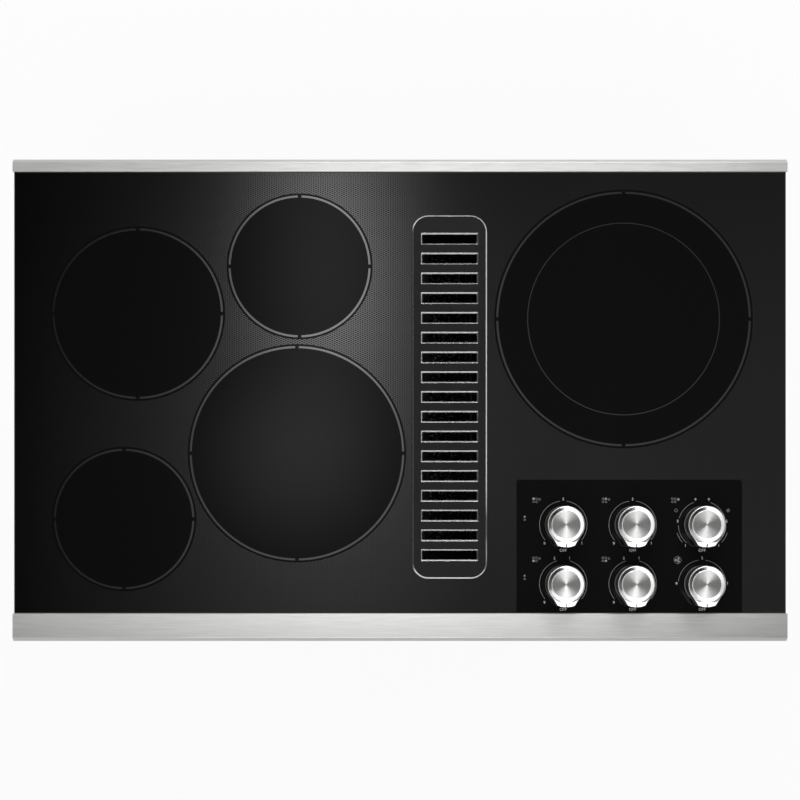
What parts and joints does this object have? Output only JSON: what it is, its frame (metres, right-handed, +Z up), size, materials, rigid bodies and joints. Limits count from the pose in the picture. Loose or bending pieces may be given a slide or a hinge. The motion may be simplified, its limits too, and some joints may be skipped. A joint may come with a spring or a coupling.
{
  "type": "downdraft cooktop",
  "caption": "Drop-in radiant cooktop with black glass, steel front and rear trims, push-to-turn knobs and a raised slotted grille over a downdraft vent with filter, blower and tray.",
  "frame": {"origin": "middle of the worktop cutout, on the worktop's surface (the underside of the rim gasket)", "axes": "+X to the user's right, +Y towards the wall behind, +Z up"},
  "size_m": [0.922, 0.574, 0.449],
  "materials": {
    "ceramic_glass": "gloss",
    "brushed_stainless": "brushed",
    "black_silicone": "matte",
    "zinc_sheet": "galvanised",
    "duct_black": "satin",
    "insulation_board": "matte",
    "heater_alloy": "satin",
    "ceramic_white": "matte",
    "switch_plastic": "matte",
    "cam_plastic": "matte",
    "lamp_red": "gloss",
    "turned_metal": "turned",
    "bright_steel": "machined",
    "grille_black": "satin",
    "filter_aluminium": "satin",
    "blower_black": "satin",
    "rotor_steel": "machined",
    "tray_plastic": "matte",
    "conduit_zinc": "cast"
  },
  "bodies": {
    "cooktop": {"glass_top": "ceramic_glass", "front_trim": "brushed_stainless", "rear_trim": "brushed_stainless", "trim_beads": "black_silicone", "glass_seals": "black_silicone", "rim_gasket": "black_silicone", "knob_seals": "black_silicone", "burner_box": "zinc_sheet", "burner_box_floor": "zinc_sheet", "blower_housing": "zinc_sheet", "motor_plate": "zinc_sheet", "exhaust_collar": "zinc_sheet", "tray_runners": "zinc_sheet", "wiring_box": "zinc_sheet", "element_supports": "zinc_sheet", "switch_bracket": "zinc_sheet", "clamp_brackets": "zinc_sheet", "element_dish_left_rear": "zinc_sheet", "element_dish_centre_rear": "zinc_sheet", "element_dish_centre_front": "zinc_sheet", "element_dish_left_front": "zinc_sheet", "element_dish_right": "zinc_sheet", "vent_chamber": "duct_black", "filter_ledges": "duct_black", "element_insulation": "insulation_board", "element_ribbons": "heater_alloy", "element_limiters": "ceramic_white", "terminal_block": "ceramic_white", "switch_housings": "switch_plastic", "indicator_lamps": "lamp_red", "clamp_screws": "bright_steel", "flange_screw_set": "bright_steel", "blower_motor": "blower_black", "conduit_connector": "conduit_zinc"},
    "vent_grille": {"vent_grille": "grille_black", "grille_bumpers": "black_silicone"},
    "vent_filter": {"filter_frame": "filter_aluminium", "filter_mesh": "filter_aluminium"},
    "blower_rotor": {"blower_wheel": "blower_black", "motor_shaft": "bright_steel", "motor_rotor": "rotor_steel"},
    "overflow_tray": {"overflow_tray": "tray_plastic"},
    "cam_left_rear": {"switch_cam_left_rear": "cam_plastic"},
    "knob_left_rear": {"knob_left_rear": "turned_metal", "knob_shaft_left_rear": "bright_steel"},
    "cam_centre_rear": {"switch_cam_centre_rear": "cam_plastic"},
    "knob_centre_rear": {"knob_centre_rear": "turned_metal", "knob_shaft_centre_rear": "bright_steel"},
    "cam_right": {"switch_cam_right": "cam_plastic"},
    "knob_right": {"knob_right": "turned_metal", "knob_shaft_right": "bright_steel"},
    "cam_left_front": {"switch_cam_left_front": "cam_plastic"},
    "knob_left_front": {"knob_left_front": "turned_metal", "knob_shaft_left_front": "bright_steel"},
    "cam_centre_front": {"switch_cam_centre_front": "cam_plastic"},
    "knob_centre_front": {"knob_centre_front": "turned_metal", "knob_shaft_centre_front": "bright_steel"},
    "cam_fan": {"switch_cam_fan": "cam_plastic"},
    "knob_fan": {"knob_fan": "turned_metal", "knob_shaft_fan": "bright_steel"}
  },
  "joints": [
    {"name": "knob_left_rear_turn", "type": "hinge", "parent": "cooktop", "child": "cam_left_rear", "pos_m": [0.1943, -0.1484, 0], "axis": [0, 0, 1], "range_deg": [-315, 0]},
    {"name": "knob_left_rear_push", "type": "slide", "parent": "cam_left_rear", "child": "knob_left_rear", "axis": [0, 0, 1], "range_m": [-0.002, 0], "stiffness_N_per_m": 1500, "springref_m": 0.003},
    {"name": "knob_centre_rear_turn", "type": "hinge", "parent": "cooktop", "child": "cam_centre_rear", "pos_m": [0.2769, -0.1484, 0], "axis": [0, 0, 1], "range_deg": [-315, 0]},
    {"name": "knob_centre_rear_push", "type": "slide", "parent": "cam_centre_rear", "child": "knob_centre_rear", "axis": [0, 0, 1], "range_m": [-0.002, 0], "stiffness_N_per_m": 1500, "springref_m": 0.003},
    {"name": "knob_right_turn", "type": "hinge", "parent": "cooktop", "child": "cam_right", "pos_m": [0.3595, -0.1484, 0], "axis": [0, 0, 1], "range_deg": [-165, 165]},
    {"name": "knob_right_push", "type": "slide", "parent": "cam_right", "child": "knob_right", "axis": [0, 0, 1], "range_m": [-0.002, 0], "stiffness_N_per_m": 1500, "springref_m": 0.003},
    {"name": "knob_left_front_turn", "type": "hinge", "parent": "cooktop", "child": "cam_left_front", "pos_m": [0.1943, -0.2187, 0], "axis": [0, 0, 1], "range_deg": [-315, 0]},
    {"name": "knob_left_front_push", "type": "slide", "parent": "cam_left_front", "child": "knob_left_front", "axis": [0, 0, 1], "range_m": [-0.002, 0], "stiffness_N_per_m": 1500, "springref_m": 0.003},
    {"name": "knob_centre_front_turn", "type": "hinge", "parent": "cooktop", "child": "cam_centre_front", "pos_m": [0.2769, -0.2187, 0], "axis": [0, 0, 1], "range_deg": [-315, 0]},
    {"name": "knob_centre_front_push", "type": "slide", "parent": "cam_centre_front", "child": "knob_centre_front", "axis": [0, 0, 1], "range_m": [-0.002, 0], "stiffness_N_per_m": 1500, "springref_m": 0.003},
    {"name": "knob_fan_turn", "type": "hinge", "parent": "cooktop", "child": "cam_fan", "pos_m": [0.3595, -0.2187, 0], "axis": [0, 0, 1], "range_deg": [-270, 0]},
    {"name": "knob_fan_push", "type": "slide", "parent": "cam_fan", "child": "knob_fan", "axis": [0, 0, 1], "range_m": [-0.002, 0], "stiffness_N_per_m": 1500, "springref_m": 0.003},
    {"name": "grille_lift", "type": "slide", "parent": "cooktop", "child": "vent_grille", "axis": [0, 0, 1], "range_m": [0, 0.3]},
    {"name": "filter_lift", "type": "slide", "parent": "cooktop", "child": "vent_filter", "axis": [0, 0, 1], "range_m": [0, 0.22]},
    {"name": "blower_spin", "type": "hinge", "parent": "cooktop", "child": "blower_rotor", "pos_m": [0.15, -0.0104, -0.222], "axis": [1, 0, 0], "continuous": true},
    {"name": "tray_slide", "type": "slide", "parent": "cooktop", "child": "overflow_tray", "axis": [0, -1, 0], "range_m": [0, 0.3]}
  ],
  "couplings": [
    {"joint": "filter_lift", "follows": "grille_lift", "ratio": 0.7}
  ]
}
